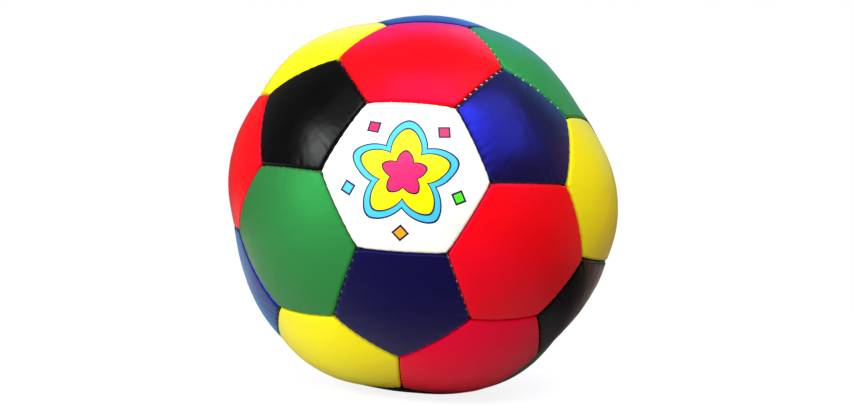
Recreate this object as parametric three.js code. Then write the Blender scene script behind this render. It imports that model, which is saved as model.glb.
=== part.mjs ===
// A soft toy ball about 180 mm across, sewn like a football from 12 pentagons and 20 hexagons of
// vinyl leatherette. Each half is 16 panels sewn together inside out, the halves are joined on a
// zigzag seam round the middle, and the ball is turned, stuffed and closed by hand at the back.
// Millimetres, +Z up, front towards -Y, standing on the middle of its bottom pentagon.
import * as THREE from "three";
import { mergeVertices } from "three/addons/utils/BufferGeometryUtils.js";

// Driving dimensions
const seamLength = 36; // every seam, from corner to corner
const hexagonCrown = 2.3; // how far a hexagon's middle swells above its edges
const pentagonCrown = 1; // the smaller pentagons swell less
const settling = 4; // height that the soft ball loses as it stands
const restCut = 0.5; // depth of the flat that it stands on
const sheet = 1.1; // leatherette with its knitted backing
const insideFold = 0.5; // inner radius where a panel turns down into a seam
const allowance = 6; // seam allowance, from the foot of the fold to its cut edge
const notch = 4; // how far each allowance tapers in at the panel's corners
const thread = 0.7; // sewing thread across, as it lies in a seam
const handStitch = 6; // one whole stitch of the seam that is closed by hand
const handReach = 0.4; // how far a hand stitch swings to each side of its seam
const clearance = 0.3; // air between any two pieces
const handSewnSeams = 3; // seams of the joining zigzag left open for the stuffing

// Steps along each seam
const outerSteps = 4;
const innerSteps = 2;
const threadSteps = 3;

// Colours of each ring of panels, anticlockwise seen from above. The upper hexagons, upper belt
// hexagons and lower pentagons start at the front, the other rings half a panel further round.
const ringColours = {
  top_pentagon: ["blue"],
  upper_hexagon: ["red", "green", "yellow", "green", "yellow"],
  upper_pentagon: ["blue", "black", "blue", "black", "black"],
  upper_belt_hexagon: ["white", "yellow", "green", "yellow", "red"],
  lower_belt_hexagon: ["red", "red", "white", "green", "green"],
  lower_pentagon: ["blue", "black", "blue", "black", "blue"],
  lower_hexagon: ["red", "green", "yellow", "red", "yellow"],
  bottom_pentagon: ["black"],
};
const colours = {
  red: 0xd9142b,
  yellow: 0xeeda20,
  green: 0x2f9a50,
  blue: 0x2226a6,
  black: 0x141417,
  white: 0xf7f6f2,
  thread: 0xe9e7e0,
  fibre: 0xf4f3ee,
};
const vinylRoughness = 0.35;
const fibreRoughness = 0.95;

// Sizes that follow. A football's corners all lie on one sphere, whose radius follows from the
// golden ratio. The folds' shoulders lie on it, and depths are counted down from it.
const goldenRatio = (1 + Math.sqrt(5)) / 2;
const ballRadius = (seamLength / 2) * Math.sqrt(9 * goldenRatio + 10);
const flattening = 1 - settling / (2 * ballRadius);
const seamFace = clearance / 2; // from a seam's middle plane to the panel on either side
const fold = insideFold + sheet;
const foldFoot = ballRadius - fold;
const allowanceFoot = foldFoot - allowance;
const shoulderInset = seamFace + fold;
const restRadius = ballRadius - restCut / flattening; // to the flat, before the ball settles
const restAngle = Math.acos(restRadius / ballRadius);
const middleRing = 0.38; // the crown's round middle ring, as a share of the way to a seam
const innerRing = 0.25; // the ring inside the crown, from the middle ring (0) to the shoulder (1)

// Directions of the 12 pentagons, which are the corners of an icosahedron
function direction(polar, azimuth) {
  const across = Math.sin(polar);
  return new THREE.Vector3(across * Math.cos(azimuth), across * Math.sin(azimuth), Math.cos(polar));
}

function fiveRound(polar, start) {
  return [0, 1, 2, 3, 4].map((k) => direction(polar, start + (k * 2 * Math.PI) / 5));
}

const front = -Math.PI / 2;
const ringPolar = Math.atan(2);
const top = direction(0, 0);
const bottom = direction(Math.PI, 0);
const upper = fiveRound(ringPolar, front + Math.PI / 5);
const lower = fiveRound(Math.PI - ringPolar, front);
const pentagons = [top, ...upper, ...lower, bottom];

const tolerance = 1e-6; // for directions, which are one unit long

function same(a, b) {
  return a.distanceTo(b) < tolerance;
}

// Turns from one direction or point towards another by a share of the angle between them
function between(a, b, share) {
  const angle = a.angleTo(b);
  const start = Math.sin((1 - share) * angle) / Math.sin(angle);
  const end = Math.sin(share * angle) / Math.sin(angle);
  return a.clone().multiplyScalar(start).addScaledVector(b, end);
}

// The corner of pentagon a that points at pentagon b, a third of the way between them
function seamCorner(a, b) {
  return a.clone().multiplyScalar(2).add(b).normalize();
}

function cornersOf(around) {
  if (around.length > 1) {
    return around.flatMap((a) => around.filter((b) => b !== a).map((b) => seamCorner(a, b)));
  }
  const neighbours = pentagons.filter((b) => b !== around[0] && b.dot(around[0]) > 0);
  return neighbours.map((b) => seamCorner(around[0], b));
}

function anticlockwise(middle, points) {
  const east = points[0].clone().projectOnPlane(middle);
  const north = middle.clone().cross(east);
  const turn = (p) => Math.atan2(p.dot(north), p.dot(east));
  return [...points].sort((p, q) => turn(p) - turn(q));
}

// A panel is centred on one pentagon direction, or on the middle of three for a hexagon
function makePanel(ring, number, around) {
  const colour = ringColours[ring][number];
  const name = ringColours[ring].length > 1 ? `${ring}_${number + 1}_${colour}` : `${ring}_${colour}`;
  const middle = around.reduce((sum, a) => sum.add(a), new THREE.Vector3()).normalize();
  const corners = anticlockwise(middle, cornersOf(around));
  const inward = corners.map((a, i) => a.clone().cross(corners[(i + 1) % corners.length]).normalize());
  const panel = { name, colour, middle, corners, inward, sides: corners.length };
  panel.isUpper = ring.startsWith("top") || ring.startsWith("upper");
  panel.crown = around.length > 1 ? hexagonCrown : pentagonCrown;
  panel.middleAngle = middleRing * middle.angleTo(insetPoint(panel, 0, 0.5, shoulderInset, ballRadius));
  if (around[0] === bottom && around.length === 1) {
    panel.crown = 0; // the ball's weight presses it flat
    panel.middleAngle = restAngle;
  }
  return panel;
}

// The point that lies inset inside both seams at a panel's corner, at a radius from the centre
function insetCorner(panel, i, inset, radius) {
  const before = panel.inward[(i + panel.sides - 1) % panel.sides];
  const after = panel.inward[i % panel.sides];
  const shift = before.clone().add(after).multiplyScalar(inset / (1 + before.dot(after)));
  const along = Math.sqrt(radius ** 2 - shift.lengthSq());
  return shift.addScaledVector(panel.corners[i % panel.sides], along);
}

// A point beside seam i, a share of the way along it
function insetPoint(panel, i, share, inset, radius) {
  const start = insetCorner(panel, i, inset, radius).addScaledVector(panel.inward[i], -inset);
  const end = insetCorner(panel, i + 1, inset, radius).addScaledVector(panel.inward[i], -inset);
  return between(start, end, share).addScaledVector(panel.inward[i], inset);
}

// Points beside one seam, and round a whole panel, which ends on its first point
function seamLine(panel, i, steps, inset, radius, trim = 0) {
  const shares = Array.from({ length: steps + 1 }, (_, k) => trim + ((1 - 2 * trim) * k) / steps);
  return shares.map((share) => insetPoint(panel, i, share, inset, radius));
}

function ringLine(panel, steps, inset, radius) {
  const points = panel.corners.flatMap((_, i) => seamLine(panel, i, steps, inset, radius).slice(0, -1));
  return [...points, points[0]];
}

// A ring of the crown, from the round middle ring (0) out to the shoulder (1), at a depth inside
function crownLine(panel, steps, blend, depth) {
  const rim = ringLine(panel, steps, shoulderInset, ballRadius);
  return rim.map((point) => {
    const rimAngle = panel.middle.angleTo(point);
    const share = (panel.middleAngle + (rimAngle - panel.middleAngle) * blend) / rimAngle;
    const radius = ballRadius + panel.crown * (1 - share ** 2) - depth;
    return flatUnderneath(between(panel.middle, point.clone().normalize(), share), radius, depth);
  });
}

function crownMiddle(panel, depth) {
  return flatUnderneath(panel.middle, ballRadius + panel.crown - depth, depth);
}

function flatUnderneath(heading, radius, depth) {
  const point = heading.clone().multiplyScalar(radius);
  point.z = Math.max(point.z, depth - restRadius);
  return point;
}

// Fills the band between two lines of points, whose numbers of steps may differ
function band(triangles, a, b) {
  let i = 0;
  let j = 0;
  while (i < a.length - 1 || j < b.length - 1) {
    const nextA = i < a.length - 1 ? (i + 1) / (a.length - 1) : Infinity;
    const nextB = j < b.length - 1 ? (j + 1) / (b.length - 1) : Infinity;
    if (nextB <= nextA) {
      triangles.push([a[i], b[j], b[j + 1]]);
      j += 1;
    } else {
      triangles.push([a[i], b[j], a[i + 1]]);
      i += 1;
    }
  }
}

function quad(triangles, a, b, c, d) {
  triangles.push([a, b, c], [a, c, d]);
}

// One panel: crowned face, rounded folds, and an allowance that turns in along every seam
function panelTriangles(panel) {
  const triangles = [];
  const halfFold = fold * Math.SQRT1_2;
  const outside = [
    [crownMiddle(panel, 0)],
    crownLine(panel, innerSteps, 0, 0),
    crownLine(panel, innerSteps, 0.5, 0),
    ringLine(panel, outerSteps, shoulderInset, ballRadius),
    ringLine(panel, outerSteps, shoulderInset - halfFold, foldFoot + halfFold),
    ringLine(panel, outerSteps, seamFace, foldFoot),
  ];
  const inside = [
    ringLine(panel, innerSteps, seamFace + sheet, foldFoot),
    ringLine(panel, innerSteps, shoulderInset, ballRadius - sheet),
    crownLine(panel, innerSteps, innerRing, sheet),
    [crownMiddle(panel, sheet)],
  ];
  outside.slice(1).forEach((line, k) => band(triangles, outside[k], line));
  inside.slice(1).forEach((line, k) => band(triangles, inside[k], line));
  panel.corners.forEach((_, i) => addAllowance(triangles, panel, i));
  return triangles;
}

function addAllowance(triangles, panel, i) {
  const trim = notch / seamLength;
  const outerFold = seamLine(panel, i, outerSteps, seamFace, foldFoot);
  const outerEdge = seamLine(panel, i, outerSteps, seamFace, allowanceFoot, trim);
  const innerEdge = seamLine(panel, i, innerSteps, seamFace + sheet, allowanceFoot, trim);
  const innerFold = seamLine(panel, i, innerSteps, seamFace + sheet, foldFoot);
  band(triangles, outerFold, outerEdge);
  band(triangles, outerEdge, innerEdge);
  band(triangles, innerEdge, innerFold);
  quad(triangles, outerFold[0], innerFold[0], innerEdge[0], outerEdge[0]);
  quad(triangles, outerFold.at(-1), outerEdge.at(-1), innerEdge.at(-1), innerFold.at(-1));
}

// The stuffing fills the cover, and a groove in it takes the two allowances of each seam
function stuffingTriangles(panels, seams) {
  const triangles = [];
  const depth = sheet + clearance;
  const ease = clearance * Math.tan(Math.PI / 8); // keeps the clearance square to the 45-degree folds
  const wall = seamFace + sheet + clearance;
  const grooveFoot = allowanceFoot - clearance;
  for (const panel of panels) {
    const lines = [
      [crownMiddle(panel, depth)],
      crownLine(panel, innerSteps, innerRing, depth),
      ringLine(panel, innerSteps, shoulderInset + ease, ballRadius - depth),
      ringLine(panel, innerSteps, wall, foldFoot - ease),
      ringLine(panel, innerSteps, wall, grooveFoot),
    ];
    lines.slice(1).forEach((line, k) => band(triangles, lines[k], line));
  }
  for (const seam of seams) {
    const left = seamLine(seam.left, seam.leftSide, innerSteps, wall, grooveFoot);
    const right = seamLine(seam.right, seam.rightSide, innerSteps, wall, grooveFoot);
    band(triangles, left, right.reverse());
  }
  for (const corner of seamCorners(seams)) {
    const touching = panels.filter((panel) => panel.corners.some((c) => same(c, corner)));
    const feet = touching.map((panel) => insetCorner(panel, cornerOf(panel, corner), wall, grooveFoot));
    triangles.push(anticlockwise(corner, feet));
  }
  return triangles;
}

function cornerOf(panel, corner) {
  return panel.corners.findIndex((c) => same(c, corner));
}

function seamCorners(seams) {
  const found = [];
  for (const corner of seams.flatMap((seam) => [seam.start, seam.end])) {
    if (!found.some((c) => same(c, corner))) {
      found.push(corner);
    }
  }
  return found;
}

// Every seam once, with the panel to its left and the one to its right, looking along it
function findSeams(panels) {
  const seams = [];
  for (const panel of panels) {
    panel.corners.forEach((start, i) => {
      const end = panel.corners[(i + 1) % panel.sides];
      const known = seams.find((seam) => same(seam.start, end) && same(seam.end, start));
      if (known) {
        known.right = panel;
        known.rightSide = i;
      } else {
        seams.push({ start, end, left: panel, leftSide: i });
      }
    });
  }
  return seams;
}

// How far out a thread settles in a seam, resting between the two round folds
function seatRadius(reach) {
  return foldFoot + Math.sqrt((fold + clearance) ** 2 - (shoulderInset - reach) ** 2);
}

// One thread runs through a set of seams, four-sided, and branches where three of them meet.
// Where it ends, it stops clear of the next thread. Hand stitches swing from side to side.
function threadTriangles(seams, steps, swing) {
  const triangles = [];
  const half = thread / 2;
  const radius = seatRadius(half + swing);
  const endGap = (thread + clearance) / seamLength;
  for (const seam of seams) {
    const before = seams.filter((other) => other !== seam && touches(other, seam.start));
    const after = seams.filter((other) => other !== seam && touches(other, seam.end));
    const first = before.length > 0 ? 0 : endGap;
    const last = after.length > 0 ? 1 : 1 - endGap;
    const sections = [];
    for (let k = 0; k <= steps; k += 1) {
      const isInner = k > 0 && k < steps;
      const side = k % 2 === 0 ? -swing : swing;
      const share = first + ((last - first) * k) / steps;
      sections.push(threadSection(seam, share, half, radius, isInner ? side : 0));
    }
    if (before.length === 1) {
      roundBend(sections[0], seam, before[0], seam.start);
    }
    if (after.length === 1) {
      roundBend(sections[steps], seam, after[0], seam.end);
    }
    sections.slice(1).forEach((section, k) => joinSections(triangles, sections[k], section));
    if (before.length === 0) {
      quad(triangles, ...sections[0]);
    }
    if (after.length === 0) {
      quad(triangles, ...sections[steps].toReversed());
    }
  }
  return triangles;
}

function touches(seam, corner) {
  return same(seam.start, corner) || same(seam.end, corner);
}

// Top, left, bottom and right of the thread
function threadSection(seam, share, half, radius, side) {
  const spine = between(seam.start, seam.end, share);
  const section = [
    spine.clone().multiplyScalar(radius + half),
    insetPoint(seam.left, seam.leftSide, share, half, radius),
    spine.clone().multiplyScalar(radius - half),
    insetPoint(seam.right, seam.rightSide, 1 - share, half, radius),
  ];
  section.forEach((point) => point.addScaledVector(seam.left.inward[seam.leftSide], side));
  return section;
}

// Where two seams of a thread meet without a third, its outer side mirrors its inner side
function roundBend(section, seam, other, corner) {
  const isLeftInner = seam.left === other.left || seam.left === other.right;
  const inner = section[isLeftInner ? 1 : 3];
  const outer = section[isLeftInner ? 3 : 1];
  outer.copy(corner).multiplyScalar(2 * inner.dot(corner)).sub(inner);
}

function joinSections(triangles, a, b) {
  for (let j = 0; j < 4; j += 1) {
    const next = (j + 1) % 4;
    quad(triangles, a[j], b[j], b[next], a[next]);
  }
}

function piece(name, triangles, colour, roughness) {
  const geometry = mergeVertices(new THREE.BufferGeometry().setFromPoints(triangles.flat()));
  geometry.scale(1, 1, flattening);
  geometry.computeVertexNormals();
  const material = new THREE.MeshStandardMaterial({ color: colours[colour], roughness });
  const mesh = new THREE.Mesh(geometry, material);
  mesh.name = name;
  return mesh;
}

function threadPiece(name, seams, steps, swing) {
  return piece(name, threadTriangles(seams, steps, swing), "thread", fibreRoughness);
}

// The eight rings of panels, from the top down
const panels = [makePanel("top_pentagon", 0, [top])];
for (let k = 0; k < 5; k += 1) {
  const next = (k + 1) % 5;
  const last = (k + 4) % 5;
  panels.push(makePanel("upper_hexagon", k, [top, upper[last], upper[k]]));
  panels.push(makePanel("upper_pentagon", k, [upper[k]]));
  panels.push(makePanel("upper_belt_hexagon", k, [upper[last], upper[k], lower[k]]));
  panels.push(makePanel("lower_belt_hexagon", k, [upper[k], lower[k], lower[next]]));
  panels.push(makePanel("lower_pentagon", k, [lower[k]]));
  panels.push(makePanel("lower_hexagon", k, [bottom, lower[k], lower[next]]));
}
panels.push(makePanel("bottom_pentagon", 0, [bottom]));

// The seams of each half, and the zigzag that joins the halves, the hand-sewn stretch at its back
const seams = findSeams(panels);
const upperSeams = seams.filter((seam) => seam.left.isUpper && seam.right.isUpper);
const lowerSeams = seams.filter((seam) => !seam.left.isUpper && !seam.right.isUpper);
const zigzag = seams.filter((seam) => seam.left.isUpper !== seam.right.isUpper);
zigzag.sort((a, b) => b.start.y + b.end.y - a.start.y - a.end.y);
const handSeams = zigzag.slice(0, handSewnSeams);
const joiningSeams = zigzag.slice(handSewnSeams);
const handSteps = 2 * Math.max(1, Math.round(seamLength / handStitch));

const ball = new THREE.Group();
ball.position.z = restRadius * flattening;
for (const isUpper of [true, false]) {
  const halfCover = new THREE.Group();
  for (const panel of panels.filter((p) => p.isUpper === isUpper)) {
    halfCover.add(piece(panel.name, panelTriangles(panel), panel.colour, vinylRoughness));
  }
  ball.add(halfCover);
}
ball.add(piece("stuffing", stuffingTriangles(panels, seams), "fibre", fibreRoughness));
ball.add(threadPiece("upper_half_seam_thread", upperSeams, threadSteps, 0));
ball.add(threadPiece("lower_half_seam_thread", lowerSeams, threadSteps, 0));
ball.add(threadPiece("joining_seam_thread", joiningSeams, threadSteps, 0));
ball.add(threadPiece("closing_seam_thread", handSeams, handSteps, handReach));

export default ball;
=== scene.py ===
# A soft toy ball sewn like a football from 32 vinyl panels, standing on a white studio floor.
import math
import random

import bmesh
import bpy
from mathutils import Matrix, Vector, noise
from mathutils.geometry import intersect_line_sphere, intersect_point_line


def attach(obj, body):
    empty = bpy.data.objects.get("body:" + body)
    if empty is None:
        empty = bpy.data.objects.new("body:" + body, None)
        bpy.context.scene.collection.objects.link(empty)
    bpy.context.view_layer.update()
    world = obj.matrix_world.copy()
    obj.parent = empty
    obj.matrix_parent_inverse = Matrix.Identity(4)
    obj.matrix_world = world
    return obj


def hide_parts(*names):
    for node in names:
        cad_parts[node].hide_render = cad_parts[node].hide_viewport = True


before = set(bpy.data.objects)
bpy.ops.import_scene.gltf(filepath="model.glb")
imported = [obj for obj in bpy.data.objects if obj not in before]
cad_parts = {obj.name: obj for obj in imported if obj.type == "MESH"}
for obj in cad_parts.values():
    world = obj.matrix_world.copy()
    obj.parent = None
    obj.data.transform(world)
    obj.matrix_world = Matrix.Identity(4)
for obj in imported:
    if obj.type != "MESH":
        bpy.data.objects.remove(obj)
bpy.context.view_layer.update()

mm = 0.001

# Down to handStitch the cover's sizes are the CAD model's, but for a tighter fold. The others are
# the photographed ball's own crowns, puckers and waves, where pairs are the least and the most.
cover = {
    "seamLength": 36 * mm,
    "hexagonCrown": 2.3 * mm,
    "pentagonCrown": 1 * mm,
    "settling": 4 * mm,
    "restCut": 0.5 * mm,
    "sheet": 1.1 * mm,
    "insideFold": 0.3 * mm,
    "allowance": 6 * mm,
    "notch": 4 * mm,
    "clearance": 0.3 * mm,
    "handSewnSeams": 3,
    "handStitch": 6 * mm,
    "stitch": 4 * mm,
    "crownFullness": 0.4,  # 0 for a round crown, and more for one that is full nearer its seams
    "crownSteepness": 1.6,  # a crown's slope at its rim, times its half width over its height
    "gape": {"open": 0.12 * mm, "parted": 0.1 * mm, "closed": 0.06 * mm},  # between two stitches
    "gapeReach": 1.5 * mm,  # how far down between the allowances it reaches
    "dimple": (0.04 * mm, 0.2 * mm),  # how far a stitch draws the sheet in
    "puckerReach": (2 * mm, 9 * mm),
    "pinch": (0.1 * mm, 0.5 * mm),  # the short notch that a stitch makes at the very edge
    "pinchReach": 1.1 * mm,
    "cornerPit": 0.32 * mm,  # how far three panels' tips are drawn in where they meet
    "cornerReach": 2.2 * mm,
    "waveHeight": 0.14 * mm,
    "broadWaves": 7.3,  # how many there are to a length of the ball's radius
    "fineWaves": 19,
}

# Seams whose stitches show in the photograph, as bright dots or as faint ones
openSeams = [
    ("upper_hexagon_1_red", "upper_pentagon_1_blue"),
    ("upper_hexagon_1_red", "upper_hexagon_2_green"),
    ("upper_hexagon_2_green", "upper_pentagon_1_blue"),
]
partedSeams = [
    ("upper_hexagon_1_red", "upper_belt_hexagon_1_white"),
    ("lower_belt_hexagon_5_green", "lower_pentagon_1_blue"),
    ("lower_pentagon_1_blue", "lower_belt_hexagon_1_red"),
    ("lower_pentagon_1_blue", "lower_hexagon_1_red"),
    ("lower_belt_hexagon_1_red", "lower_hexagon_1_red"),
]

# Where this ball is fuller or flatter than a true one: degrees round its outline as the camera
# sees it, anticlockwise from the right, and the height
lumps = {
    "upperRight": (38, -3.5 * mm),
    "top": (100, -1.2 * mm),
    "upperLeft": (138, 1.6 * mm),
    "aboveLeft": (164, -0.9 * mm),
    "left": (195, -2.8 * mm),
    "lowerLeft": (236, 1.6 * mm),
    "underside": (265, -1.4 * mm),
    "lowerRight": (291, 2.8 * mm),
    "belowRight": (317, -1.4 * mm),
    "right": (350, 0.8 * mm),
}
lumpHalfWidth = 21  # in degrees
lumpAhead = 0.13  # how far they lie in front of the outline, as a share of the ball's radius

# Where corners of the panels are in the photograph, in pixels of its 854 by 410 frame. Each is named
# after a panel that it is a corner of.
seenCorners = {
    "topPentagonLeft": (388, 26),
    "topPentagonRight": (468, 28),
    "redTopLeft": (338, 59),
    "redTopRight": (503, 69),
    "blackUpperLeft": (269, 95),
    "whiteUpperLeft": (367, 103),
    "whiteUpperRight": (456, 108),
    "blueUpperRight": (566, 118),
    "blackLowerLeft": (262, 165),
    "whiteLeft": (321, 171),
    "whiteRight": (491, 183),
    "blueLowerRight": (566, 185),
    "greenLeft": (240, 230),
    "whiteLowerLeft": (357, 248),
    "whiteLowerRight": (447, 254),
    "redRight": (582, 258),
    "greenLowerLeft": (280, 307),
    "greenLowerRight": (334, 316),
    "redLowerLeft": (470, 319),
    "redLowerRight": (537, 315),
    "blackBottom": (537, 354),
    "blueBottom": (399, 357),
    "bottomPentagon": (402, 387),
}
unseenStray = 0.6 * mm  # how far the other corners stray from a true ball's, at most, each way

# Corners at the outline or a little behind it, placed so that the panels there end where they do
# in the photograph: degrees round the outline, anticlockwise from the right, and degrees in front
# of the ball's middle
hiddenCorners = {
    "yellowRightEnd": (343, 1),
    "blackRightEnd": (322, -4.5),
    "greenRightEnd": (27, 6.5),
    "blueLeftEnd": (225, 5),
    "topRightEnd": (65, -3),
}

goldenRatio = (1 + math.sqrt(5)) / 2
ballRadius = cover["seamLength"] / 2 * math.sqrt(9 * goldenRatio + 10)
flattening = 1 - cover["settling"] / (2 * ballRadius)
seamFace = cover["clearance"] / 2
foldFoot = ballRadius - cover["insideFold"] - cover["sheet"]


# The camera, and where the ball's lumps and corners are as it sees them

view = {
    "azimuth": -85.4,  # anticlockwise from +X, in degrees
    "elevation": 2.9,
    "roll": 3.5,
    "distance": 921 * mm,
    "lens": 83.9,
    "sensor": 36,
    "shift": (0.0075, -0.0006),
    "frame": (854, 410),
}


def direction(polar, azimuth):
    across = math.sin(polar)
    return Vector((across * math.cos(azimuth), across * math.sin(azimuth), math.cos(polar)))


def headingOf(azimuth, elevation):
    return direction(math.radians(90 - elevation), math.radians(azimuth))


def turnTowards(heading, roll=0):
    return heading.to_track_quat("-Z", "Y").to_matrix() @ Matrix.Rotation(math.radians(roll), 3, "Z")


viewHeading = headingOf(view["azimuth"], view["elevation"])
viewTurn = turnTowards(-viewHeading, view["roll"])
lumpSpots = []
for angle, height in lumps.values():
    spot = Vector((math.cos(math.radians(angle)), math.sin(math.radians(angle)), lumpAhead))
    lumpSpots.append((viewTurn @ spot.normalized(), height))


def lumpHeight(heading):
    total = 0
    for spot, height in lumpSpots:
        nearness = heading.angle(spot) / math.radians(lumpHalfWidth)
        total += height * math.exp(-nearness * nearness)
    return total


restRadius = ballRadius + lumpHeight(Vector((0, 0, -1))) - cover["restCut"] / flattening
ballHeight = restRadius * flattening
ballMiddle = Vector((0, 0, ballHeight))
viewPlace = ballMiddle + viewHeading * view["distance"]

lens = bpy.data.cameras.new("camera")
lens.lens = view["lens"]
lens.sensor_width = view["sensor"]
lens.shift_x, lens.shift_y = view["shift"]
camera = bpy.data.objects.new("camera", lens)
bpy.context.scene.collection.objects.link(camera)
camera.matrix_world = Matrix.Translation(viewPlace) @ viewTurn.to_4x4()
bpy.context.scene.camera = camera


# How far above the foot of the folds the eye meets a seam, in mm. The more from the side a seam is
# seen, the less deep between its folds the eye gets.
seamSight = {"facing": 0.2, "slantwise": 1.2}


# The direction from the ball's middle to the seam that the camera sees at a pixel. It is found in
# rounds, because the lumps and the depth seen there depend on it.
def seenHeading(x, y):
    wide, high = view["frame"]
    across = (x - wide / 2) / wide + view["shift"][0]
    upward = (high / 2 - y) / wide + view["shift"][1]
    ray = viewTurn @ Vector((across, upward, -view["lens"] / view["sensor"]))
    start = viewHeading * view["distance"]
    start.z /= flattening
    ray.z /= flattening
    heading = start.normalized()
    nearest, _ = intersect_point_line(Vector(), start, start + ray)
    for _ in range(5):
        slantwise = 1 - heading.dot(viewHeading)
        sight = seamSight["facing"] + seamSight["slantwise"] * slantwise**2
        radius = foldFoot + sight * mm + lumpHeight(heading)
        near = [p for p in intersect_line_sphere(start, start + ray, Vector(), radius, False) if p]
        heading = min(near, key=lambda place: (place - start).length, default=nearest).normalized()
    return heading


# The pattern of pentagons and hexagons

def fiveRound(polar, start):
    return [direction(polar, start + k * 2 * math.pi / 5) for k in range(5)]


front = -math.pi / 2
ringPolar = math.atan(2)
top = direction(0, 0)
bottom = direction(math.pi, 0)
upper = fiveRound(ringPolar, front + math.pi / 5)
lower = fiveRound(math.pi - ringPolar, front)
pentagons = [top, *upper, *lower, bottom]


def same(a, b):
    return (a - b).length < 1e-5


# Two pentagons with one seam between them, from corner to corner
def areNeighbours(a, b):
    return 0 < a.dot(b) < 0.9


# A true ball's corners, each with its place on this ball
chance = random.Random(4)
cornerPlaces = []
for a in pentagons:
    for b in pentagons:
        if areNeighbours(a, b):
            stray = Vector([chance.uniform(-1, 1) * unseenStray / ballRadius for _ in range(3)])
            ideal = (2 * a + b).normalized()
            cornerPlaces.append([ideal, (ideal + stray).normalized()])
placed = [seenHeading(x, y) for x, y in seenCorners.values()]
for angle, ahead in hiddenCorners.values():
    placed.append(viewTurn @ direction(math.radians(90 - ahead), math.radians(angle)))
for heading in placed:
    nearest = max(cornerPlaces, key=lambda pair: pair[0].dot(heading))
    nearest[1] = heading


def between(a, b, share):
    angle = a.angle(b)
    return (a * math.sin((1 - share) * angle) + b * math.sin(share * angle)) / math.sin(angle)


def seamCorner(a, b):
    ideal = (2 * a + b).normalized()
    return next(place for corner, place in cornerPlaces if same(corner, ideal))


def anticlockwise(middle, points):
    east = (points[0] - middle * points[0].dot(middle)).normalized()
    north = middle.cross(east)
    return sorted(points, key=lambda p: math.atan2(p.dot(north), p.dot(east)) % (2 * math.pi))


# A pentagon lies round one of the pentagon directions, and a hexagon between three of them
def makePanel(name, around):
    if len(around) > 1:
        points = [seamCorner(a, b) for a in around for b in around if a is not b]
    else:
        points = [seamCorner(around[0], b) for b in pentagons if areNeighbours(around[0], b)]
    middle = sum(points, Vector()).normalized()
    corners = anticlockwise(middle, points)
    sides = len(corners)
    panel = {"name": name, "middle": middle, "corners": corners, "sides": sides, "seams": []}
    panel["inward"] = [a.cross(corners[(i + 1) % sides]).normalized() for i, a in enumerate(corners)]
    panel["isUpper"] = sum(a.z > 0 for a in around) * 2 > len(around)
    panel["crown"] = cover["hexagonCrown"] if sides == 6 else cover["pentagonCrown"]
    if around[0] is bottom and sides == 5:
        panel["crown"] = 0  # the ball's weight presses it flat
    return panel


def nodeNamed(start):
    return next(name for name in sorted(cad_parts) if name.startswith(start))


panels = [makePanel(nodeNamed("top_pentagon"), [top])]
for k in range(5):
    rings = {
        "upper_hexagon": [top, upper[k - 1], upper[k]],
        "upper_pentagon": [upper[k]],
        "upper_belt_hexagon": [upper[k - 1], upper[k], lower[k]],
        "lower_belt_hexagon": [upper[k], lower[k], lower[(k + 1) % 5]],
        "lower_pentagon": [lower[k]],
        "lower_hexagon": [bottom, lower[k], lower[(k + 1) % 5]],
    }
    for ring, around in rings.items():
        panels.append(makePanel(nodeNamed(f"{ring}_{k + 1}"), around))
panels.append(makePanel(nodeNamed("bottom_pentagon"), [bottom]))


# Every seam once, with the panel to its left and the one to its right, looking along it
def findSeams():
    seams = []
    for panel in panels:
        for side, start in enumerate(panel["corners"]):
            end = panel["corners"][(side + 1) % panel["sides"]]
            seam = next((s for s in seams if same(s["start"], end) and same(s["end"], start)), None)
            if seam:
                seam["right"] = panel
            else:
                seam = {"start": start, "end": end, "left": panel, "leftSide": side}
                seams.append(seam)
            panel["seams"].append(seam)
    return seams


seams = findSeams()
zigzag = [seam for seam in seams if seam["left"]["isUpper"] != seam["right"]["isUpper"]]
zigzag.sort(key=lambda seam: -seam["start"].y - seam["end"].y)
closingSeams = zigzag[: cover["handSewnSeams"]]
joiningSeams = zigzag[cover["handSewnSeams"] :]
upperSeams = [seam for seam in seams if seam["left"]["isUpper"] and seam["right"]["isUpper"]]
lowerSeams = [seam for seam in seams if not seam["left"]["isUpper"] and not seam["right"]["isUpper"]]


# How far a seam is stretched open. Those that the photograph doesn't show are left to chance.
def openingOf(seam):
    names = {seam["left"]["name"], seam["right"]["name"]}
    middle = (seam["start"] + seam["end"]).normalized()
    if seam["isHandSewn"] or any(names == set(pair) for pair in openSeams):
        return "open"
    if any(names == set(pair) for pair in partedSeams):
        return "parted"
    if middle.dot(viewHeading) > 0:
        return "closed"
    return chance.choice(("open", "parted", "closed", "closed", "closed"))


# Each stitch pulls its seam in by its own amount, and its pucker runs its own way into the panels
for seam in seams:
    seam["isHandSewn"] = any(seam is other for other in closingSeams)
    seam["opening"] = openingOf(seam)
    length = cover["handStitch"] if seam["isHandSewn"] else cover["stitch"]
    stitches = range(round(cover["seamLength"] / length))
    seam["stitches"] = len(stitches)
    seam["dimples"] = [chance.uniform(*cover["dimple"]) for _ in stitches]
    seam["pinches"] = [chance.uniform(*cover["pinch"]) for _ in stitches]
    low, high = cover["puckerReach"]
    seam["reaches"] = [[low + (high - low) * chance.random() ** 3 for _ in stitches] for _ in range(2)]
    gape = cover["gape"][seam["opening"]]
    seam["gapes"] = [chance.uniform(0.4, 1) * gape for _ in stitches]
    seam["sinking"] = [chance.uniform(0, 1) for _ in stitches]

print("pattern:", len(panels), "panels and", len(seams), "seams")


# Where a point of a flat panel comes to lie on the stuffed ball

def insetCorner(panel, i, inset, radius):
    before = panel["inward"][(i - 1) % panel["sides"]]
    after = panel["inward"][i % panel["sides"]]
    shift = (before + after) * (inset / (1 + before.dot(after)))
    along = math.sqrt(radius**2 - shift.length_squared)
    return shift + panel["corners"][i % panel["sides"]] * along


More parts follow.
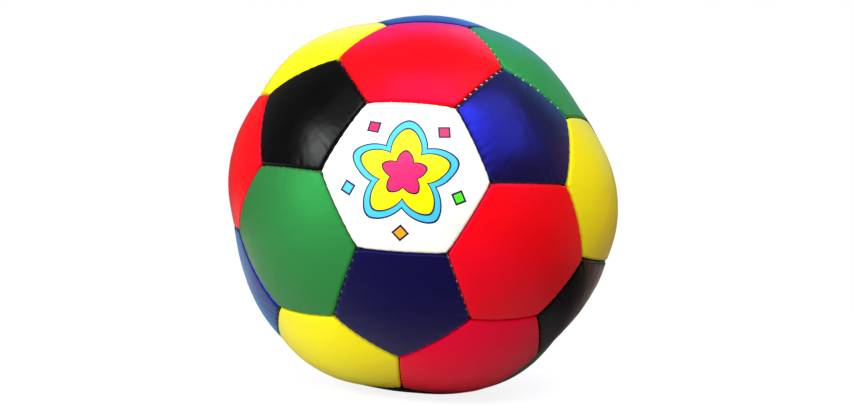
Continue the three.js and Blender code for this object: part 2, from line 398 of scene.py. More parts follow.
# A point beside seam i, a share of the way along it
def insetPoint(panel, i, share, inset, radius):
    inward = panel["inward"][i] * inset
    start = insetCorner(panel, i, inset, radius) - inward
    end = insetCorner(panel, i + 1, inset, radius) - inward
    return between(start, end, share) + inward


# 1 in a panel's middle and 0 at its seams, with no ridges between
def middleness(panel, heading):
    nearness = 1
    for inward in panel["inward"]:
        nearness *= max(0, heading.dot(inward) / panel["middle"].dot(inward))
    return nearness


# A stuffed panel swells most in its middle and not at all at its seams
def swelling(panel, heading):
    nearness = middleness(panel, heading)
    fullness = cover["crownFullness"]
    return nearness * (1 + fullness - fullness * nearness) * panel["crown"]


# How far the nearest stitch draws the sheet in, and how far the seam gapes, at a place beside it
def stitchPull(panel, side, share, away):
    seam = panel["seams"][side]
    isLeft = seam["left"] is panel
    place = (share if isLeft else 1 - share) * seam["stitches"]
    k = min(max(int(place), 0), seam["stitches"] - 1)
    pull = math.sin(math.pi * (place - k)) ** 2
    reach = seam["reaches"][0 if isLeft else 1][k]
    out = max(away, 0)
    dimple = seam["dimples"][k] * pull * math.exp(-((out / reach) ** 2))
    dimple += seam["pinches"][k] * pull**3 * math.exp(-((out / cover["pinchReach"]) ** 2))
    fromCorner = min(share, 1 - share) * cover["seamLength"]
    pit = cover["cornerPit"] * math.exp(-((fromCorner**2 + out**2) / cover["cornerReach"] ** 2))
    gape = seam["gapes"][k] * (1 - pull)
    return dimple + pit, gape + pit


# Adds the ball's lumps, lets it sag a little and presses it flat where it rests on the floor
def settled(point, depth=0):
    heading = point.normalized()
    point = point + heading * lumpHeight(heading)
    z = max(point.z, depth - restRadius)
    return Vector((point.x, point.y, z * flattening + ballHeight))


# away is the distance from the seam over the flat sheet, and negative in the seam allowance.
# depth is how far under the outer face the point lies.
def sewn(panel, side, share, away, apothem, depth=0):
    fold = cover["insideFold"] + cover["sheet"]
    tight = fold - depth
    slope = cover["crownSteepness"] * panel["crown"] / apothem
    foldLength = fold * (math.pi / 2 - slope)
    shoulder = seamFace + fold * (1 - math.sin(slope))
    dimple, gape = stitchPull(panel, side, share, away)
    if away < 0:
        inset = seamFace + depth + gape * math.exp(away / cover["gapeReach"])
        return settled(insetPoint(panel, side, share, inset, foldFoot + away))
    if away < foldLength:
        turn = away / fold
        inset = seamFace + fold - tight * math.cos(turn) + gape * math.cos(turn)
        radius = foldFoot + tight * math.sin(turn) - dimple
        return settled(insetPoint(panel, side, share, inset, radius))
    rim = insetPoint(panel, side, share, shoulder, ballRadius).normalized()
    towardsRim = 1 - (away - foldLength) / (apothem - foldLength)
    heading = between(panel["middle"], rim, towardsRim) if towardsRim > 1e-4 else panel["middle"]
    rimRadius = foldFoot + fold * math.cos(slope) - swelling(panel, rim)
    waves = noise.noise(heading * cover["broadWaves"])
    waves += 0.5 * noise.noise(heading * cover["fineWaves"])
    wave = cover["waveHeight"] * waves * middleness(panel, heading)
    point = heading * (rimRadius + swelling(panel, heading) - depth - dimple + wave)
    return settled(point, depth)


# Panels

blank = {
    "level": 6,  # how often the small squares that a panel is drawn in are halved
    "crowding": 1.35,  # above 1, the squares are smaller near the seams
    "allowanceRows": 2,
    "tolerance": 0.01 * mm,
    "mapScale": 10,  # units of a panel's map to a metre, so that the panel fits in the map
}
sharpAngle = math.radians(50)  # edges that turn more than this look sharp


def deselect():
    bpy.ops.object.select_all(action="DESELECT")


def chooseOnly(piece):
    deselect()
    piece.select_set(True)
    bpy.context.view_layer.objects.active = piece


def finishModifier(piece, modifier):
    chooseOnly(piece)
    bpy.ops.object.modifier_apply(modifier=modifier.name)


# Selects a mesh's open edges whose middles pass a test, in edit mode
def chooseOpenEdges(piece, isWanted):
    edit = bmesh.from_edit_mesh(piece.data)
    for face in edit.faces:
        face.select = False
    for edge in edit.edges:
        middle = (edge.verts[0].co + edge.verts[1].co) / 2
        edge.select = edge.is_boundary and isWanted(middle)
    edit.select_flush_mode()
    bmesh.update_edit_mesh(piece.data)


def sideNormal(side, sides):
    angle = math.pi / 2 + (side + 0.5) * 2 * math.pi / sides
    return Vector((math.cos(angle), math.sin(angle), 0))


def apothemOf(sides):
    return cover["seamLength"] / 2 / math.tan(math.pi / sides)


# A flat polygon in small squares, as a panel is cut, without its allowance yet
def cutPolygon(name, sides, level):
    deselect()
    circumradius = cover["seamLength"] / 2 / math.sin(math.pi / sides)
    bpy.ops.mesh.primitive_circle_add(vertices=sides, radius=circumradius, fill_type="NGON")
    piece = bpy.context.object
    piece.name = name
    squares = piece.modifiers.new("squares", "SUBSURF")
    squares.subdivision_type = "SIMPLE"
    squares.levels = squares.render_levels = level
    finishModifier(piece, squares)
    apothem = apothemOf(sides)
    for vertex in piece.data.vertices:
        away = 1 - max(vertex.co.dot(sideNormal(side, sides)) for side in range(sides)) / apothem
        if 0 < away < 1:
            vertex.co *= (1 - away ** blank["crowding"]) / (1 - away)
    return piece


# The seam allowance is a separate flap along every side, so that its corners are notched
def addAllowance(piece, sides):
    apothem = apothemOf(sides)
    step = cover["allowance"] / blank["allowanceRows"]
    bpy.ops.object.mode_set(mode="EDIT")
    bpy.ops.mesh.select_mode(type="EDGE")
    for side in range(sides):
        normal = sideNormal(side, sides)
        for row in range(blank["allowanceRows"]):
            height = apothem + row * step
            chooseOpenEdges(piece, lambda middle: abs(middle.dot(normal) - height) < blank["tolerance"])
            bpy.ops.mesh.extrude_edges_move(TRANSFORM_OT_translate={"value": normal * step})
    bpy.ops.object.mode_set(mode="OBJECT")


# Which side of its flat panel a point is nearest, how far along that side and how far from it
def flatPlace(point, sides):
    apothem = apothemOf(sides)
    turn = 2 * math.pi / sides
    angle = math.atan2(point.y, point.x) - math.pi / 2
    side = int((angle % (2 * math.pi)) / turn) % sides
    normal = sideNormal(side, sides)
    along = point.dot(Vector((-normal.y, normal.x, 0))) / cover["seamLength"]
    height = point.dot(normal)
    away = apothem - height
    if away >= 0:
        share = 0.5 + along * apothem / height if height > 1e-9 else 0.5
        return side, min(max(share, 0), 1), away
    narrowing = 1 - 2 * cover["notch"] / cover["seamLength"] * min(1, -away / cover["allowance"])
    return side, 0.5 + along * narrowing, away


# A panel's own map: its flat cut shape, turned so that the ball's top is up
def keepFlatMap(piece, panel):
    middle = panel["middle"]
    upward = Vector((0, 0, 1)) if abs(middle.z) < 0.99 else Vector((0, 1, 0))
    north = (upward - middle * upward.dot(middle)).normalized()
    east = north.cross(middle)
    corner = panel["corners"][0]
    turn = math.atan2(corner.dot(north), corner.dot(east)) - math.pi / 2
    spin = Matrix.Rotation(turn, 3, "Z")
    flat = piece.data.uv_layers.new(name="flatCut")
    for loop in piece.data.loops:
        spot = spin @ piece.data.vertices[loop.vertex_index].co
        flat.data[loop.index].uv = [along * blank["mapScale"] + 0.5 for along in spot[:2]]


def sewPanel(flatBlank, panel):
    piece = flatBlank.copy()
    piece.data = flatBlank.data.copy()
    piece.name = f"{panel['name']}_cover"
    bpy.context.scene.collection.objects.link(piece)
    keepFlatMap(piece, panel)
    apothem = apothemOf(panel["sides"])
    for vertex in piece.data.vertices:
        side, share, away = flatPlace(vertex.co, panel["sides"])
        vertex.co = sewn(panel, side, share, away, apothem)
    sheet = piece.modifiers.new("sheet", "SOLIDIFY")
    sheet.thickness = cover["sheet"]
    sheet.offset = -1
    finishModifier(piece, sheet)
    bpy.ops.object.shade_smooth_by_angle(angle=sharpAngle)
    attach(piece, "root")
    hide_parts(panel["name"])
    return piece


blanks = {}
for sides in (5, 6):
    blanks[sides] = cutPolygon(f"flatBlank{sides}", sides, blank["level"])
    addAllowance(blanks[sides], sides)
panelPieces = {panel["name"]: sewPanel(blanks[panel["sides"]], panel) for panel in panels}
print("panels:", sum(len(p.data.polygons) for p in panelPieces.values()), "faces")


# Sewing thread

thread = {
    "across": 0.4 * mm,
    "rise": {"open": 0.9 * mm, "parted": 0.1 * mm, "closed": -1.2 * mm},  # above the folds' foot
    "unevenness": 0.4 * mm,  # how much lower a stitch may lie
    "endDrop": 0.8 * mm,  # how much lower a seam's first and last stitches lie
    "reach": 0.42 * mm,  # how far a stitch reaches to each side of its seam
    "slant": 0.12 * mm,
    "sunk": 2.4 * mm,  # depth of the thread between stitches, under the foot of the folds
    "dive": 0.5 * mm,  # from a stitch's middle to where the thread is down between the folds
    "drop": 0.35 * mm,  # how much lower a stitch's ends are than its top
    "start": 0.8 * mm,  # how far from a seam's corner the thread begins
}


# A point of a thread: a distance along from a share, a distance to the left, and its height
def threadPoint(seam, share, along, across, height):
    share = min(max(share + along / cover["seamLength"], 0), 1)
    spine = between(seam["start"], seam["end"], share)
    radius = foldFoot + height
    return settled(spine * radius + seam["left"]["inward"][seam["leftSide"]] * across)


def threadPath(seam):
    reach = thread["reach"]
    slant = thread["slant"]
    path = [threadPoint(seam, 0, thread["start"], 0, -thread["sunk"])]
    for k in range(seam["stitches"]):
        share = (k + 0.5) / seam["stitches"]
        rise = thread["rise"][seam["opening"]] - thread["unevenness"] * seam["sinking"][k]
        if k in (0, seam["stitches"] - 1):
            rise -= thread["endDrop"]
        for along, across, height in (
            (-thread["dive"], 0, -thread["sunk"]),
            (-slant * 1.6, reach, rise - thread["drop"]),
            (-slant, reach * 0.6, rise),
            (slant, -reach * 0.6, rise),
            (slant * 1.6, -reach, rise - thread["drop"]),
            (thread["dive"], 0, -thread["sunk"]),
        ):
            path.append(threadPoint(seam, share, along, across, height))
    path.append(threadPoint(seam, 1, -thread["start"], 0, -thread["sunk"]))
    return path


def sewThread(name, someSeams):
    curve = bpy.data.curves.new(name, "CURVE")
    curve.dimensions = "3D"
    curve.bevel_depth = thread["across"] / 2
    curve.bevel_resolution = 1
    curve.use_fill_caps = True
    for seam in someSeams:
        path = threadPath(seam)
        spline = curve.splines.new("POLY")
        spline.points.add(len(path) - 1)
        for point, place in zip(spline.points, path):
            point.co = (*place, 1)
    piece = bpy.data.objects.new(f"{name}_sewn", curve)
    bpy.context.scene.collection.objects.link(piece)
    chooseOnly(piece)
    bpy.ops.object.convert(target="MESH")
    piece = bpy.context.object
    bpy.ops.object.shade_smooth()
    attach(piece, "root")
    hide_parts(name)
    return piece


threadPieces = [
    sewThread("upper_half_seam_thread", upperSeams),
    sewThread("lower_half_seam_thread", lowerSeams),
    sewThread("joining_seam_thread", joiningSeams),
    sewThread("closing_seam_thread", closingSeams),
]
print("threads:", sum(len(p.data.polygons) for p in threadPieces), "faces")


# Stuffing, which fills the cover and has a groove for the two allowances of every seam

stuffing = {
    "level": 5,
    "wallMark": 1 * mm,  # width of each of the two rows round a flat piece, which mark the groove
    "weld": 0.02 * mm,
}


# One panel's share of the stuffing. Its inner row goes down beside the allowance, and its outer
# row closes the groove under it.
def fillSegment(flatBlank, panel):
    piece = flatBlank.copy()
    piece.data = flatBlank.data.copy()
    bpy.context.scene.collection.objects.link(piece)
    apothem = apothemOf(panel["sides"])
    depth = cover["sheet"] + cover["clearance"]
    wall = seamFace + depth
    for vertex in piece.data.vertices:
        side, share, away = flatPlace(vertex.co, panel["sides"])
        if away > -0.5 * stuffing["wallMark"]:
            vertex.co = sewn(panel, side, share, max(away, 0), apothem, depth)
        else:
            inset = wall if away > -1.5 * stuffing["wallMark"] else 0
            stretch = math.tan(math.pi / panel["sides"]) * (apothem - away) * 2 / cover["seamLength"]
            share = 0.5 + (share - 0.5) / stretch
            radius = foldFoot - cover["allowance"] - cover["clearance"]
            vertex.co = settled(insetPoint(panel, side, share, inset, radius))
    return piece


def makeStuffing():
    flats = {}
    for sides in (5, 6):
        flats[sides] = cutPolygon(f"stuffingBlank{sides}", sides, stuffing["level"])
        bpy.ops.object.mode_set(mode="EDIT")
        bpy.ops.mesh.select_mode(type="EDGE")
        for row in range(2):
            chooseOpenEdges(flats[sides], lambda middle: True)
            apothem = apothemOf(sides) + row * stuffing["wallMark"]
            grow = 1 + stuffing["wallMark"] / apothem
            bpy.ops.mesh.extrude_edges_move()
            bpy.ops.transform.resize(value=(grow, grow, 1), center_override=(0, 0, 0))
        bpy.ops.object.mode_set(mode="OBJECT")
    segments = [fillSegment(flats[panel["sides"]], panel) for panel in panels]
    deselect()
    for segment in segments:
        segment.select_set(True)
    bpy.context.view_layer.objects.active = segments[0]
    bpy.ops.object.join()
    piece = bpy.context.object
    piece.name = "stuffing_fibre"
    bpy.ops.object.mode_set(mode="EDIT")
    bpy.ops.mesh.select_all(action="SELECT")
    bpy.ops.mesh.remove_doubles(threshold=stuffing["weld"])
    bpy.ops.object.mode_set(mode="OBJECT")
    bpy.ops.object.shade_smooth_by_angle(angle=sharpAngle)
    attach(piece, "root")
    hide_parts("stuffing")
    for flat in flats.values():
        bpy.data.objects.remove(flat)
    return piece


stuffingPiece = makeStuffing()
for flat in blanks.values():
    bpy.data.objects.remove(flat)
print("stuffing:", len(stuffingPiece.data.polygons), "faces")


# Materials

def linear(hexColour):
    channels = [int(hexColour[i : i + 2], 16) / 255 for i in (1, 3, 5)]
    return (*[c / 12.92 if c <= 0.04045 else ((c + 0.055) / 1.055) ** 2.4 for c in channels], 1)


# Adds a node with its settings, and with what goes into its inputs: other nodes' outputs or values
def addNode(tree, kind, settings=None, sources=None):
    node = tree.nodes.new(kind)
    for name, value in (settings or {}).items():
        if name in node.inputs:
            node.inputs[name].default_value = value
        else:
            setattr(node, name, value)
    for name, source in (sources or {}).items():
        if isinstance(source, bpy.types.NodeSocket):
            tree.links.new(source, node.inputs[name])
        else:
            node.inputs[name].default_value = source
    return node


def newMaterial(name):
    material = bpy.data.materials.new(name)
    material.use_nodes = True
    material.node_tree.nodes.clear()
    return material, material.node_tree


# Calendered PVC on a knitted backing: an even colour, a satin gloss, a very fine grain and slight
# creases. The gloss takes up some of the pigment's colour, and the blues have a sheen of scuffs.
rolls = {
    "red": {"colour": "#D8080C", "glint": "#FF1090", "ior": 1.6, "rough": 0.35},
    # Painted light: this roll is a pinker copy of the red, for one red panel in pink light
    "pinkLitRed": {"colour": "#DC042C", "glint": "#FF1090", "ior": 1.4, "rough": 0.35},
    "yellow": {"colour": "#E4DC14", "glint": "#E06010", "ior": 1.5, "rough": 0.35},
    "green": {"colour": "#286A34", "glint": "#20FF78", "ior": 1.6, "rough": 0.42},
    # Painted light: this roll is a lighter copy of the green, for one green panel that gets more light
    "litGreen": {"colour": "#2A7E40", "glint": "#28FF98", "ior": 1.7, "rough": 0.42},
    "blue": {"colour": "#160C1A", "glint": "#2034FF", "ior": 2.5, "rough": 0.32, "sheen": "#50ACE8"},
    # Painted shade: this roll is a darker copy of the blue, for the one blue panel that looks darker
    # under the light
    "navy": {"colour": "#100C1C", "glint": "#1018C8", "ior": 1.8, "rough": 0.32, "sheen": "#2440D8"},
    "black": {"colour": "#030303", "glint": "#B8BABA", "ior": 1.3, "rough": 0.25},
    "white": {"colour": "#E8E6E0", "glint": "#908C80", "ior": 1.6, "rough": 0.4},
}
vinyl = {
    "mottle": 14 * mm,
    "mottling": 0.05,  # how far the roughness varies to each side
    "grain": 0.8 * mm,  # about twice the real one, which is too fine to show
    "grainHeight": 0.05 * mm,
    "grainStrength": 0.14,
    "crease": 6 * mm,
    "creaseHeight": 0.08 * mm,
    "sheenRoughness": 0.33,
}


# paint adds a print: it is given the material's nodes and the ground colour, and returns a colour
def makeVinyl(name, paint=None):
    roll = rolls[name]
    material, tree = newMaterial(f"vinylLeatherette_{name}{'Printed' if paint else ''}")
    place = addNode(tree, "ShaderNodeTexCoord").outputs["Object"]
    mottle = addNode(
        tree,
        "ShaderNodeTexNoise",
        {"Scale": 1 / vinyl["mottle"], "Detail": 3},
        {"Vector": place},
    )
    creases = addNode(
        tree,
        "ShaderNodeTexNoise",
        {"Scale": 1 / vinyl["crease"], "Detail": 2, "Distortion": 1},
        {"Vector": place},
    )
    creased = addNode(
        tree,
        "ShaderNodeBump",
        {"Distance": vinyl["creaseHeight"]},
        {"Height": creases.outputs["Fac"]},
    )
    grain = addNode(tree, "ShaderNodeTexVoronoi", {"Scale": 1 / vinyl["grain"]}, {"Vector": place})
    raised = addNode(
        tree,
        "ShaderNodeBump",
        {"Strength": vinyl["grainStrength"], "Distance": vinyl["grainHeight"]},
        {"Height": grain.outputs["Distance"], "Normal": creased.outputs["Normal"]},
    )
    low = roll["rough"] - vinyl["mottling"]
    high = roll["rough"] + vinyl["mottling"]
    rough = addNode(
        tree,
        "ShaderNodeMapRange",
        {"From Min": 0.3, "From Max": 0.7, "To Min": low, "To Max": high},
        {"Value": mottle.outputs["Fac"]},
    )
    ground = linear(roll["colour"])
    colour = paint(tree, ground) if paint else None
    shader = addNode(
        tree,
        "ShaderNodeBsdfPrincipled",
        {"Base Color": ground, "IOR": roll["ior"], "Specular Tint": linear(roll["glint"])},
        {"Roughness": rough.outputs["Result"], "Normal": raised.outputs["Normal"]},
    )
    if colour:
        tree.links.new(colour, shader.inputs["Base Color"])
    if "sheen" in roll:
        shader.inputs["Sheen Weight"].default_value = 1
        shader.inputs["Sheen Roughness"].default_value = vinyl["sheenRoughness"]
        shader.inputs["Sheen Tint"].default_value = linear(roll["sheen"])
    addNode(tree, "ShaderNodeOutputMaterial", None, {"Surface": shader.outputs["BSDF"]})
    return material


# A plain pattern of stars and diamonds in screen inks, on a panel's flat map. Sizes are in mm.
emblem = {
    "tip": 24,
    "notch": 13.5,
    "tipRoundness": 0.22,  # 0 for a sharp tip
    "inner": 0.42,  # the small star's share of the big one
    "outline": 0.8,
    "border": 2.6,
    "diamondAt": 22.5,
    "diamond": 3.4,
    "blur": 0.08,  # half the width of an ink's soft edge
    "shaded": 15,  # how far down and up the star goes from amber to yellow
    "inks": {
        "navy": "#101A3C",
        "sky": "#3CB4FF",
        "yellow": "#FFF000",
        "amber": "#FFD200",
        "pink": "#FF1E64",
        "diamonds": ("#FF1E64", "#4CE020", "#FF9A10", "#3CB4FF", "#FF1E64"),
    },
}


# Lays an ink over a colour wherever a distance in mm is negative by more than an inset
def printInk(tree, under, ink, distance, inset):
    blur = emblem["blur"]
    inside = addNode(
        tree,
        "ShaderNodeMapRange",
        {"From Min": blur - inset, "From Max": -blur - inset},
        {"Value": distance},
    ).outputs["Result"]
    mixed = addNode(tree, "ShaderNodeMixRGB", None, {"Fac": inside, "Color1": under, "Color2": ink})
    return mixed.outputs["Color"]


# In the sums, each row is a result, what is done, and the numbers or earlier results it is done to.
# A star, the small star and a diamond are distances from their outlines, negative inside.
def paintEmblem(tree, ground):
    inks = emblem["inks"]
    flat = addNode(tree, "ShaderNodeUVMap", {"uv_map": "flatCut"})
    parts = addNode(tree, "ShaderNodeSeparateXYZ", None, {"Vector": flat.outputs["UV"]})
    width = 1000 / blank["mapScale"]  # the whole map's, in mm
    fullTurn = 2 * math.pi
    halfArm = fullTurn / 10
    sums = (
        ("x", "MULTIPLY_ADD", "across", width, -width / 2),
        ("y", "MULTIPLY_ADD", "upward", width, -width / 2),
        ("ySquared", "MULTIPLY", "y", "y"),
        ("outSquared", "MULTIPLY_ADD", "x", "x", "ySquared"),
        ("out", "SQRT", "outSquared"),
        ("angle", "ARCTAN2", "x", "y"),
        ("offTip", "PINGPONG", "angle", halfArm),
        ("tipShare", "DIVIDE", "offTip", halfArm),
        ("roundedSquare", "MULTIPLY_ADD", "tipShare", "tipShare", emblem["tipRoundness"] ** 2),
        ("rounded", "SQRT", "roundedSquare"),
        ("edge", "MULTIPLY_ADD", "rounded", emblem["notch"] - emblem["tip"], emblem["tip"]),
        ("star", "SUBTRACT", "out", "edge"),
        ("smallEdge", "MULTIPLY", "edge", emblem["inner"]),
        ("small", "SUBTRACT", "out", "smallEdge"),
        ("turned", "ADD", "angle", halfArm),
        ("offNotch", "PINGPONG", "turned", halfArm),
        ("cosine", "COSINE", "offNotch"),
        ("sine", "SINE", "offNotch"),
        ("ahead", "MULTIPLY", "out", "cosine"),
        ("aside", "MULTIPLY", "out", "sine"),
        ("pastMiddle", "SUBTRACT", "ahead", emblem["diamondAt"]),
        ("lengthwise", "ABSOLUTE", "pastMiddle"),
        ("fromMiddle", "ADD", "lengthwise", "aside"),
        ("diamond", "SUBTRACT", "fromMiddle", emblem["diamond"]),
        ("wholeAngle", "WRAP", "angle", fullTurn, 0),
        ("sector", "DIVIDE", "wholeAngle", fullTurn),
    )
    found = {"across": parts.outputs["X"], "upward": parts.outputs["Y"]}
    for result, operation, *terms in sums:
        sources = {place: found.get(term, term) for place, term in enumerate(terms)}
        found[result] = addNode(tree, "ShaderNodeMath", {"operation": operation}, sources).outputs[0]
    ramp = addNode(tree, "ShaderNodeValToRGB", None, {"Fac": found["sector"]})
    ramp.color_ramp.interpolation = "CONSTANT"
    for k, ink in enumerate(inks["diamonds"]):
        stop = ramp.color_ramp.elements[k] if k < 2 else ramp.color_ramp.elements.new(k / 5)
        stop.position = k / 5
        stop.color = linear(ink)
    height = addNode(
        tree,
        "ShaderNodeMapRange",
        {"From Min": -emblem["shaded"], "From Max": emblem["shaded"]},
        {"Value": found["y"]},
    )
    glow = addNode(
        tree,
        "ShaderNodeMixRGB",
        {"Color1": linear(inks["amber"]), "Color2": linear(inks["yellow"])},
        {"Fac": height.outputs["Result"]},
    )
    line = emblem["outline"]
    border = emblem["border"]
    layers = (
        (linear(inks["navy"]), "diamond", 0),
        (ramp.outputs["Color"], "diamond", line * 1.4),
        (linear(inks["navy"]), "star", 0),
        (linear(inks["sky"]), "star", line),
        (linear(inks["navy"]), "star", line + border),
        (glow.outputs["Color"], "star", line * 2 + border),
        (linear(inks["navy"]), "small", 0),
        (linear(inks["pink"]), "small", line),
    )
    colour = ground
    for ink, outline, inset in layers:
        colour = printInk(tree, colour, ink, found[outline], inset)
    return colour


# Spun polyester thread: off-white and matt, with a twist too fine to see from a step away
# The darker of the two colours is painted shade in the low places of the twist
spunThread = {"hollowShade": "#D2D0C8", "strands": "#F0EFEA", "twist": 0.3 * mm, "twistHeight": 0.05 * mm}


def makeThreadMaterial():
    material, tree = newMaterial("spunPolyesterThread")
    place = addNode(tree, "ShaderNodeTexCoord").outputs["Object"]
    twist = addNode(tree, "ShaderNodeTexNoise", {"Scale": 1 / spunThread["twist"]}, {"Vector": place})
    raised = addNode(
        tree,
        "ShaderNodeBump",
        {"Strength": 0.3, "Distance": spunThread["twistHeight"]},
        {"Height": twist.outputs["Fac"]},
    )
    # Painted shade: darker where the twist's bump is lowest
    colour = addNode(
        tree,
        "ShaderNodeMixRGB",
        {"Color1": linear(spunThread["hollowShade"]), "Color2": linear(spunThread["strands"])},
        {"Fac": twist.outputs["Fac"]},
    )
    shader = addNode(
        tree,
        "ShaderNodeBsdfPrincipled",
        {"Roughness": 0.7, "Sheen Weight": 0.3, "IOR": 1.5},
        {"Base Color": colour.outputs["Color"], "Normal": raised.outputs["Normal"]},
    )
    addNode(tree, "ShaderNodeOutputMaterial", None, {"Surface": shader.outputs["BSDF"]})
    return material


# Carded polyester fibre: white, matt and woolly, in tangled tufts
# The darker of the two colours is painted shade in the low places between the tufts
cardedFibre = {"hollowShade": "#DEDCD6", "tufts": "#FAF9F6", "tuft": 2 * mm, "tuftHeight": 0.5 * mm}


def makeFibreMaterial():
    material, tree = newMaterial("cardedPolyesterFibre")
    place = addNode(tree, "ShaderNodeTexCoord").outputs["Object"]
    tufts = addNode(
        tree,
        "ShaderNodeTexNoise",
        {"Scale": 1 / cardedFibre["tuft"], "Detail": 6, "Distortion": 2},
        {"Vector": place},
    )
    raised = addNode(
        tree,
        "ShaderNodeBump",
        {"Strength": 0.8, "Distance": cardedFibre["tuftHeight"]},
        {"Height": tufts.outputs["Fac"]},
    )
    # Painted shade: darker where the tufts' bump is lowest
    colour = addNode(
        tree,
        "ShaderNodeMixRGB",
        {"Color1": linear(cardedFibre["hollowShade"]), "Color2": linear(cardedFibre["tufts"])},
        {"Fac": tufts.outputs["Fac"]},
    )
    shader = addNode(
        tree,
        "ShaderNodeBsdfPrincipled",
        {"Roughness": 0.95, "Sheen Weight": 0.5},
        {"Base Color": colour.outputs["Color"], "Normal": raised.outputs["Normal"]},
    )
    addNode(tree, "ShaderNodeOutputMaterial", None, {"Surface": shader.outputs["BSDF"]})
    return material


vinylMaterials = {name: makeVinyl(name) for name in rolls}
specialPanels = {
    "upper_belt_hexagon_1_white": makeVinyl("white", paintEmblem),
    "lower_pentagon_1_blue": vinylMaterials["navy"],  # painted shade: a darker copy of the blue that stands in for the shade on this panel
    "upper_hexagon_2_green": vinylMaterials["litGreen"],  # painted light: a lighter copy of the green that stands in for more light on this panel
    "lower_hexagon_1_red": vinylMaterials["pinkLitRed"],  # painted light: a pinker copy of the red that stands in for pink light on this panel
}
threadMaterial = makeThreadMaterial()
fibreMaterial = makeFibreMaterial()

for name, piece in panelPieces.items():
    colour = name.rsplit("_", 1)[1]
    piece.data.materials.append(specialPanels.get(name, vinylMaterials[colour]))
for piece in threadPieces:
    piece.data.materials.append(threadMaterial)
stuffingPiece.data.materials.append(fibreMaterial)
print("materials:", len(bpy.data.materials))


# Studio

# Distances on the floor are in metres from the ball's middle
floor = {
    "radius": 0.8,
    "fade": (0.2, 0.7),  # the camera sees it go over into the white behind
    "paint": "#8C8C8C",
    "glow": 0.86,  # what makes it overexposed to the camera
    "returned": {"bare": "#CCC8C4", "card": "#50484A"},  # the shade that the ball gets light from
    "card": (-0.1, 0.16),  # where a dark card begins and is full: to the right plus behind
    "lit": (0.05, 0.4),  # how far back the light from behind begins and is full
    "litBehind": {"bare": 1.3, "card": 0.8},
    "litColour": "#FFD8C0",
}
fill = 0.13  # light from all round


# Square softboxes round the ball. Their azimuths are from the camera's own, to the right, and
# their brightness is what a mirror would show.
lights = {
    "keySoftbox": {"azimuth": -48, "elevation": 15, "brightness": 4.3},
    "keyStrobe": {"azimuth": -64, "elevation": 24, "brightness": 10, "across": 0.35},
    "topSoftbox": {"azimuth": 0, "elevation": 48, "brightness": 5.2},
    "topLeftSoftbox": {"azimuth": -45, "elevation": 50, "brightness": 0.7},
    "rightSoftbox": {"azimuth": 50, "elevation": 50, "brightness": 2.3, "colour": "#FFF0E8"},
    "backRightSoftbox": {"azimuth": 150, "elevation": 28, "brightness": 0.5, "colour": "#98FFE8"},
    "warmCard": {"azimuth": 110, "elevation": 5, "brightness": 0.7, "colour": "#FF5828"},
    "rimSoftbox": {"azimuth": 180, "elevation": 35, "brightness": 0.9, "colour": "#3C14FF"},
}
softboxDistance = 1.25


def addLight(name, azimuth, elevation, brightness, colour="#FFFFFF", across=0.95):
    lamp = bpy.data.lights.new(name, "AREA")
    lamp.size = across
    lamp.energy = brightness * math.pi * across**2
    lamp.color = linear(colour)[:3]
    light = bpy.data.objects.new(name, lamp)
    bpy.context.scene.collection.objects.link(light)
    heading = headingOf(view["azimuth"] + azimuth, elevation)
    place = Matrix.Translation(ballMiddle + heading * softboxDistance)
    light.matrix_world = place @ turnTowards(-heading).to_4x4()


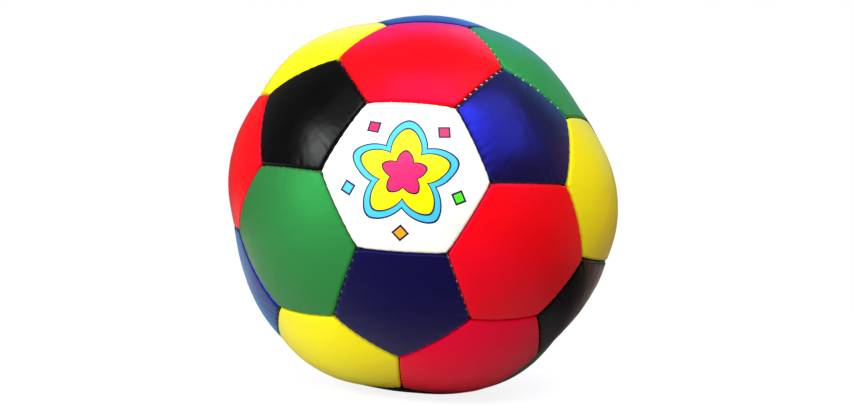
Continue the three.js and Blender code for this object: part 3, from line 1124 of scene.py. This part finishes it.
# The camera sees the floor overexposed. The ball gets the light of a pale floor with a dark card
# behind and to the right, and of a warm glow further back.
def addFloor():
    deselect()
    bpy.ops.mesh.primitive_circle_add(vertices=96, radius=floor["radius"], fill_type="NGON")
    piece = bpy.context.object
    piece.name = "floor"
    material, tree = newMaterial("paintedWhiteFloor")
    place = addNode(tree, "ShaderNodeTexCoord").outputs["Object"]
    ray = addNode(tree, "ShaderNodeLightPath")
    far = addNode(tree, "ShaderNodeVectorMath", {"operation": "LENGTH"}, {0: place})
    near, end = floor["fade"]
    fade = addNode(
        tree,
        "ShaderNodeMapRange",
        {"From Min": near, "From Max": end, "interpolation_type": "SMOOTHSTEP"},
        {"Value": far.outputs["Value"]},
    )
    seen = addNode(
        tree,
        "ShaderNodeBsdfPrincipled",
        {
            "Base Color": linear(floor["paint"]),
            "Roughness": 0.9,
            "Emission Color": (1, 1, 1, 1),
            "Emission Strength": floor["glow"],
        },
    )
    parts = addNode(tree, "ShaderNodeSeparateXYZ", None, {"Vector": place})
    slantwise = addNode(
        tree,
        "ShaderNodeMath",
        {"operation": "ADD"},
        {0: parts.outputs["X"], 1: parts.outputs["Y"]},
    )
    start, full = floor["card"]
    onCard = addNode(
        tree,
        "ShaderNodeMapRange",
        {"From Min": start, "From Max": full},
        {"Value": slantwise.outputs["Value"]},
    ).outputs["Result"]
    shades = floor["returned"]
    returned = addNode(
        tree,
        "ShaderNodeMixRGB",
        {"Color1": linear(shades["bare"]), "Color2": linear(shades["card"])},
        {"Fac": onCard},
    )
    strengths = floor["litBehind"]
    strength = addNode(
        tree,
        "ShaderNodeMapRange",
        {"To Min": strengths["bare"], "To Max": strengths["card"]},
        {"Value": onCard},
    )
    start, full = floor["lit"]
    lit = addNode(
        tree,
        "ShaderNodeMapRange",
        {"From Min": start, "From Max": full},
        {"Value": parts.outputs["Y"], "To Max": strength.outputs["Result"]},
    )
    felt = addNode(
        tree,
        "ShaderNodeBsdfPrincipled",
        {"Roughness": 1, "Emission Color": linear(floor["litColour"])},
        {"Base Color": returned.outputs["Color"], "Emission Strength": lit.outputs["Result"]},
    )
    both = addNode(
        tree,
        "ShaderNodeMixShader",
        None,
        {0: ray.outputs["Is Camera Ray"], 1: felt.outputs["BSDF"], 2: seen.outputs["BSDF"]},
    )
    clear = addNode(tree, "ShaderNodeBsdfTransparent")
    mixed = addNode(
        tree,
        "ShaderNodeMixShader",
        None,
        {0: fade.outputs["Result"], 1: both.outputs["Shader"], 2: clear.outputs["BSDF"]},
    )
    addNode(tree, "ShaderNodeOutputMaterial", None, {"Surface": mixed.outputs["Shader"]})
    piece.data.materials.append(material)


# White to the camera, and a dim fill for everything else
def addWorld():
    world = bpy.data.worlds.new("studio")
    world.use_nodes = True
    tree = world.node_tree
    tree.nodes.clear()
    seenDirectly = addNode(tree, "ShaderNodeLightPath").outputs["Is Camera Ray"]
    dim = addNode(tree, "ShaderNodeBackground", {"Color": (1, 1, 1, 1), "Strength": fill})
    plain = addNode(tree, "ShaderNodeBackground", {"Color": (1, 1, 1, 1), "Strength": 1})
    mixed = addNode(
        tree,
        "ShaderNodeMixShader",
        None,
        {0: seenDirectly, 1: dim.outputs["Background"], 2: plain.outputs["Background"]},
    )
    addNode(tree, "ShaderNodeOutputWorld", None, {"Surface": mixed.outputs["Shader"]})
    bpy.context.scene.world = world


addFloor()
addWorld()
for name, light in lights.items():
    addLight(name, **light)
bpy.context.scene.view_settings.view_transform = "Standard"
print("studio: camera, floor and lights")
